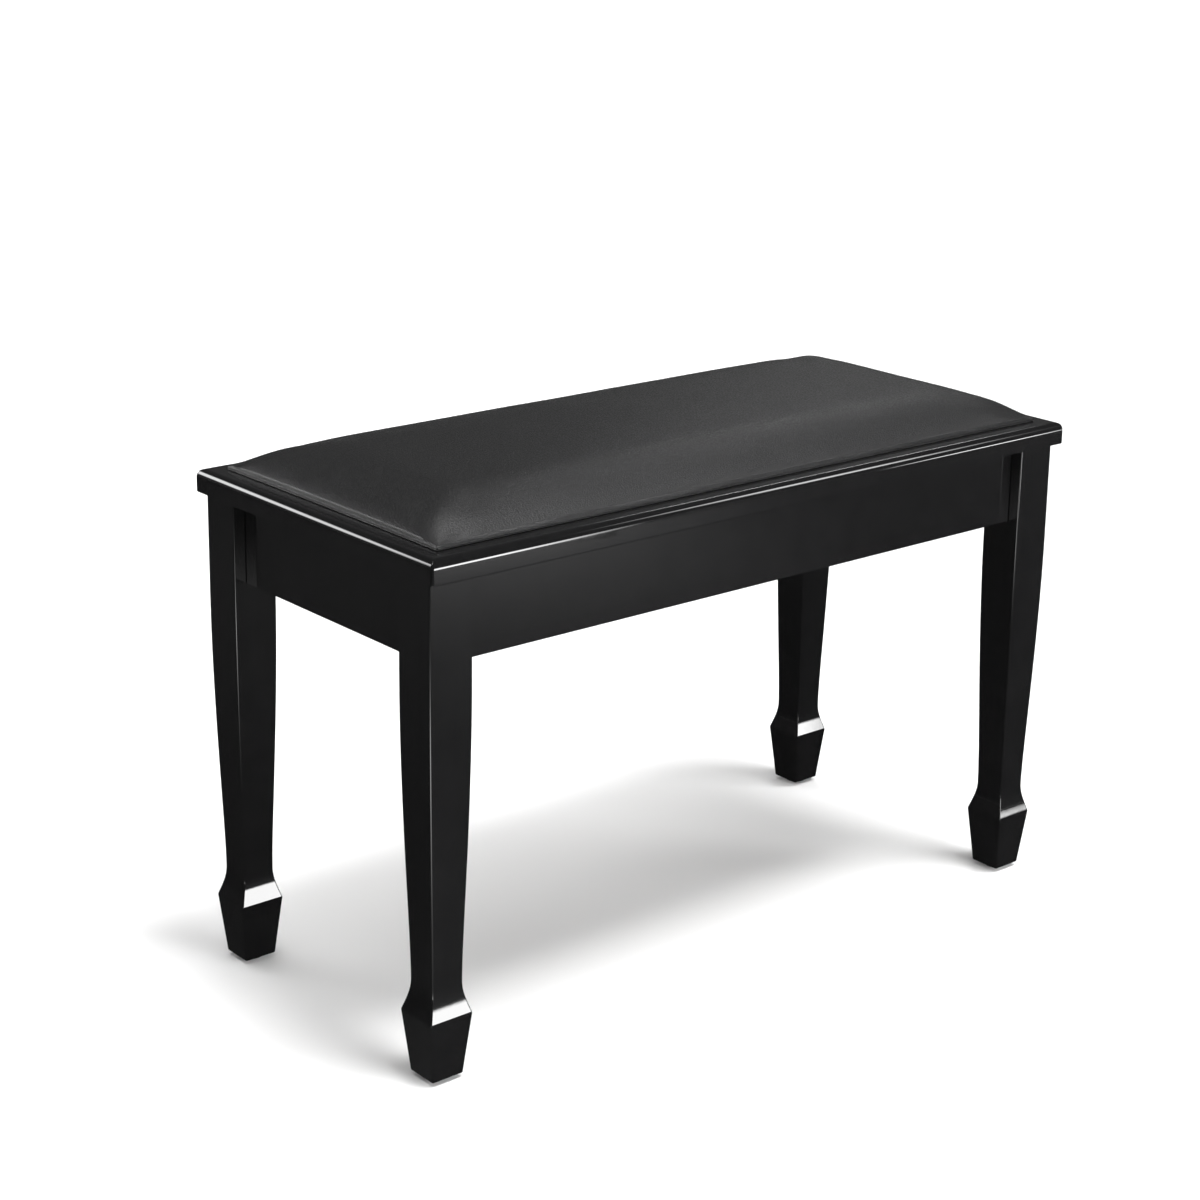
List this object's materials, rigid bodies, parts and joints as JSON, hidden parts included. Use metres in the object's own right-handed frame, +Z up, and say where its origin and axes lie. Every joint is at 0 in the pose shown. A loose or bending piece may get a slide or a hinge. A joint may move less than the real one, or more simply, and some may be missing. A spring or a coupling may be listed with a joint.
{
  "type": "piano bench",
  "caption": "Long piano bench with a crowned padded seat, square tapered spade-foot legs and deep aprons; the seat lifts on rear hinges over a shallow compartment.",
  "frame": {"origin": "on the floor, under the centre of the seat", "axes": "+X along the seat to the sitter's side with the stay, +Y from the front to the hinged back edge, +Z up"},
  "size_m": [0.75, 0.35, 0.5],
  "materials": {
    "lacquer": "high-gloss black lacquer",
    "leather": "black fine-grained leatherette, semi-matt",
    "plywood": "unfinished plywood and softwood",
    "foam": "open-cell upholstery foam",
    "steel": "bright zinc-plated steel",
    "plastic": "moulded black plastic",
    "rubber": "matt black rubber"
  },
  "bodies": {
    "frame": {"leg_front_left": "lacquer", "glide_front_left": "plastic", "corner_block_front_left": "plywood", "leg_bolt_front_left": "steel", "leg_front_right": "lacquer", "glide_front_right": "plastic", "corner_block_front_right": "plywood", "leg_bolt_front_right": "steel", "leg_rear_right": "lacquer", "glide_rear_right": "plastic", "corner_block_rear_right": "plywood", "leg_bolt_rear_right": "steel", "leg_rear_left": "lacquer", "glide_rear_left": "plastic", "corner_block_rear_left": "plywood", "leg_bolt_rear_left": "steel", "apron_front": "lacquer", "apron_rear": "lacquer", "apron_left": "lacquer", "apron_right": "lacquer", "cleat_front": "plywood", "cleat_rear": "plywood", "compartment_floor": "plywood", "hinge_frame_leaf_left": "steel", "hinge_pin_left": "steel", "hinge_frame_screw_left_outer": "steel", "hinge_frame_screw_left_inner": "steel", "hinge_frame_leaf_right": "steel", "hinge_pin_right": "steel", "hinge_frame_screw_right_outer": "steel", "hinge_frame_screw_right_inner": "steel", "stay_apron_bracket": "steel", "stay_apron_rivet": "steel", "stay_apron_screw_front": "steel", "stay_apron_screw_rear": "steel", "bumper_front_left": "rubber", "bumper_front_right": "rubber"},
    "lid": {"lid_board": "lacquer", "cushion_board": "plywood", "cushion_foam": "foam", "cushion_cover": "leather", "cushion_screw_front_left": "steel", "cushion_screw_front_right": "steel", "cushion_screw_rear_right": "steel", "cushion_screw_rear_left": "steel", "hinge_lid_leaf_left": "steel", "hinge_lid_screw_left_outer": "steel", "hinge_lid_screw_left_inner": "steel", "hinge_lid_leaf_right": "steel", "hinge_lid_screw_right_outer": "steel", "hinge_lid_screw_right_inner": "steel", "stay_lid_bracket": "steel", "stay_lid_rivet": "steel", "stay_lid_screw_front": "steel", "stay_lid_screw_rear": "steel"},
    "stay_lower": {"stay_lower_arm": "steel", "stay_elbow_rivet": "steel"},
    "stay_upper": {"stay_upper_arm": "steel"}
  },
  "joints": [
    {"name": "lid_hinge", "type": "hinge", "parent": "frame", "child": "lid", "pos_m": [0, 0.1685, 0.4412], "axis": [-1, 0, 0], "range_deg": [0, 80]},
    {"name": "stay_post_pivot", "type": "hinge", "parent": "frame", "child": "stay_lower", "pos_m": [0, 0.062, 0.405], "axis": [-1, 0, 0], "range_deg": [0, 80]},
    {"name": "stay_elbow_pivot", "type": "hinge", "parent": "stay_lower", "child": "stay_upper", "pos_m": [0, -0.068, 0.3948], "axis": [-1, 0, 0], "range_deg": [-80, 0]}
  ],
  "couplings": [
    {"joint": "stay_post_pivot", "follows": "lid_hinge", "ratio": 1},
    {"joint": "stay_elbow_pivot", "follows": "lid_hinge", "ratio": -1}
  ]
}
